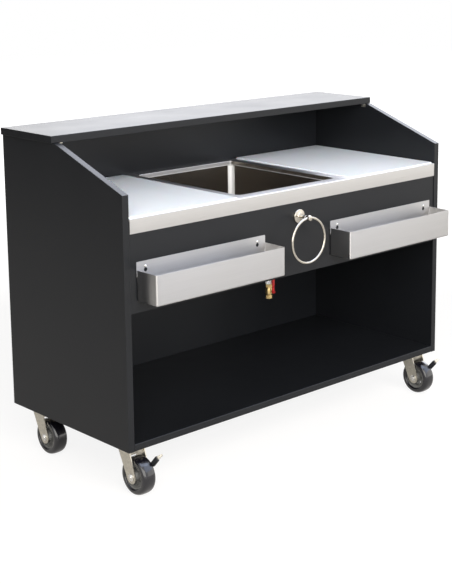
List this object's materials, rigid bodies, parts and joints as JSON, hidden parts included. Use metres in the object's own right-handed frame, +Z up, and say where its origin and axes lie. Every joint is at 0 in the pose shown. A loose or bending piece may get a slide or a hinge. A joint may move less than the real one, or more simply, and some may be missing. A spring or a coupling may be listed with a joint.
{
  "type": "portable bar",
  "caption": "Portable bar on swivel casters: laminated cabinet with bar top, shelf, stainless worktop with sink, cutting boards, hanging speed rails, towel ring and valved drain.",
  "frame": {"origin": "on the floor, under the middle of the bar's outline", "axes": "+Z up, +X along the bar, -Y toward the bartender's open side, +Y toward the customers"},
  "size_m": [1.536, 0.7568, 1.143],
  "materials": {
    "laminated_board": "satin black laminate",
    "black_batten": "painted",
    "stainless_steel": "brushed",
    "white_polyethylene": "fine matt",
    "zinc_plated_steel": "zinc plated",
    "brushed_nickel": "satin nickel",
    "brass": "turned",
    "white_nylon": "moulded",
    "red_vinyl": "dipped",
    "black_polyurethane": "cast, glossy",
    "grey_nylon": "moulded",
    "black_rubber": "moulded"
  },
  "bodies": {
    "cabinet": {"left_side_panel": "laminated_board", "right_side_panel": "laminated_board", "back_panel": "laminated_board", "bottom_shelf": "laminated_board", "apron_panel": "laminated_board", "bar_top": "laminated_board", "left_worktop_cleat": "black_batten", "right_worktop_cleat": "black_batten", "back_worktop_cleat": "black_batten", "left_top_bracket": "zinc_plated_steel", "right_top_bracket": "zinc_plated_steel", "worktop": "stainless_steel", "sink_bowl": "stainless_steel", "drain_body": "stainless_steel", "drain_locknut": "brass", "drain_tailpiece": "brushed_nickel", "valve_inlet_nut": "white_nylon", "valve_body": "brass", "towel_rose": "brushed_nickel", "towel_post": "brushed_nickel", "rail_screw_1": "zinc_plated_steel", "rail_screw_2": "zinc_plated_steel", "rail_screw_3": "zinc_plated_steel", "rail_screw_4": "zinc_plated_steel", "front_left_caster_plate": "zinc_plated_steel", "front_right_caster_plate": "zinc_plated_steel", "rear_left_caster_plate": "zinc_plated_steel", "rear_right_caster_plate": "zinc_plated_steel"},
    "valve_handle": {"valve_lever": "red_vinyl", "valve_ball_stem": "brushed_nickel", "valve_lever_nut": "zinc_plated_steel"},
    "towel_ring_body": {"towel_ring": "brushed_nickel"},
    "left_board": {"left_cutting_board": "white_polyethylene"},
    "right_board": {"right_cutting_board": "white_polyethylene"},
    "left_rail": {"left_speed_rail": "stainless_steel"},
    "right_rail": {"right_speed_rail": "stainless_steel"},
    "strainer": {"drain_strainer": "stainless_steel"},
    "front_left_swivel": {"front_left_caster_fork": "zinc_plated_steel", "front_left_axle_bolt": "zinc_plated_steel"},
    "front_left_wheel": {"front_left_wheel_core": "grey_nylon", "front_left_wheel_tread": "black_polyurethane"},
    "front_left_pedal": {"front_left_brake_pedal": "zinc_plated_steel", "front_left_brake_pad": "black_rubber"},
    "front_right_swivel": {"front_right_caster_fork": "zinc_plated_steel", "front_right_axle_bolt": "zinc_plated_steel"},
    "front_right_wheel": {"front_right_wheel_core": "grey_nylon", "front_right_wheel_tread": "black_polyurethane"},
    "front_right_pedal": {"front_right_brake_pedal": "zinc_plated_steel", "front_right_brake_pad": "black_rubber"},
    "rear_left_swivel": {"rear_left_caster_fork": "zinc_plated_steel", "rear_left_axle_bolt": "zinc_plated_steel"},
    "rear_left_wheel": {"rear_left_wheel_core": "grey_nylon", "rear_left_wheel_tread": "black_polyurethane"},
    "rear_right_swivel": {"rear_right_caster_fork": "zinc_plated_steel", "rear_right_axle_bolt": "zinc_plated_steel"},
    "rear_right_wheel": {"rear_right_wheel_core": "grey_nylon", "rear_right_wheel_tread": "black_polyurethane"}
  },
  "joints": [
    {"name": "front_left_swivel_turn", "type": "hinge", "parent": "cabinet", "child": "front_left_swivel", "pos_m": [-0.7, -0.2106, 0.15], "axis": [0, 0, 1], "continuous": true},
    {"name": "front_left_wheel_roll", "type": "hinge", "parent": "front_left_swivel", "child": "front_left_wheel", "pos_m": [-0.7, -0.2486, 0.0635], "axis": [1, 0, 0], "continuous": true},
    {"name": "front_left_pedal_press", "type": "hinge", "parent": "front_left_swivel", "child": "front_left_pedal", "pos_m": [-0.7, -0.2486, 0.0635], "axis": [1, 0, 0], "range_deg": [0, 30]},
    {"name": "front_right_swivel_turn", "type": "hinge", "parent": "cabinet", "child": "front_right_swivel", "pos_m": [0.7, -0.2106, 0.15], "axis": [0, 0, 1], "continuous": true},
    {"name": "front_right_wheel_roll", "type": "hinge", "parent": "front_right_swivel", "child": "front_right_wheel", "pos_m": [0.7, -0.2486, 0.0635], "axis": [1, 0, 0], "continuous": true},
    {"name": "front_right_pedal_press", "type": "hinge", "parent": "front_right_swivel", "child": "front_right_pedal", "pos_m": [0.7, -0.2486, 0.0635], "axis": [1, 0, 0], "range_deg": [0, 30]},
    {"name": "rear_left_swivel_turn", "type": "hinge", "parent": "cabinet", "child": "rear_left_swivel", "pos_m": [-0.7, 0.2794, 0.15], "axis": [0, 0, 1], "continuous": true},
    {"name": "rear_left_wheel_roll", "type": "hinge", "parent": "rear_left_swivel", "child": "rear_left_wheel", "pos_m": [-0.7, 0.2414, 0.0635], "axis": [1, 0, 0], "continuous": true},
    {"name": "rear_right_swivel_turn", "type": "hinge", "parent": "cabinet", "child": "rear_right_swivel", "pos_m": [0.7, 0.2794, 0.15], "axis": [0, 0, 1], "continuous": true},
    {"name": "rear_right_wheel_roll", "type": "hinge", "parent": "rear_right_swivel", "child": "rear_right_wheel", "pos_m": [0.7, 0.2414, 0.0635], "axis": [1, 0, 0], "continuous": true},
    {"name": "valve_lever_turn", "type": "hinge", "parent": "cabinet", "child": "valve_handle", "pos_m": [0, -0.1276, 0.5223], "axis": [0, 1, 0], "range_deg": [0, 90]},
    {"name": "towel_ring_swing", "type": "hinge", "parent": "cabinet", "child": "towel_ring_body", "pos_m": [0, -0.3296, 0.82], "axis": [-1, 0, 0], "range_deg": [-15, 180]},
    {"name": "left_board_lift", "type": "slide", "parent": "cabinet", "child": "left_board", "axis": [0, 0, 1], "range_m": [0, 0.15]},
    {"name": "right_board_lift", "type": "slide", "parent": "cabinet", "child": "right_board", "axis": [0, 0, 1], "range_m": [0, 0.15]},
    {"name": "left_rail_lift", "type": "slide", "parent": "cabinet", "child": "left_rail", "axis": [0, 0, 1], "range_m": [0, 0.011]},
    {"name": "right_rail_lift", "type": "slide", "parent": "cabinet", "child": "right_rail", "axis": [0, 0, 1], "range_m": [0, 0.011]},
    {"name": "strainer_lift", "type": "slide", "parent": "cabinet", "child": "strainer", "axis": [0, 0, 1], "range_m": [0, 0.25]}
  ]
}
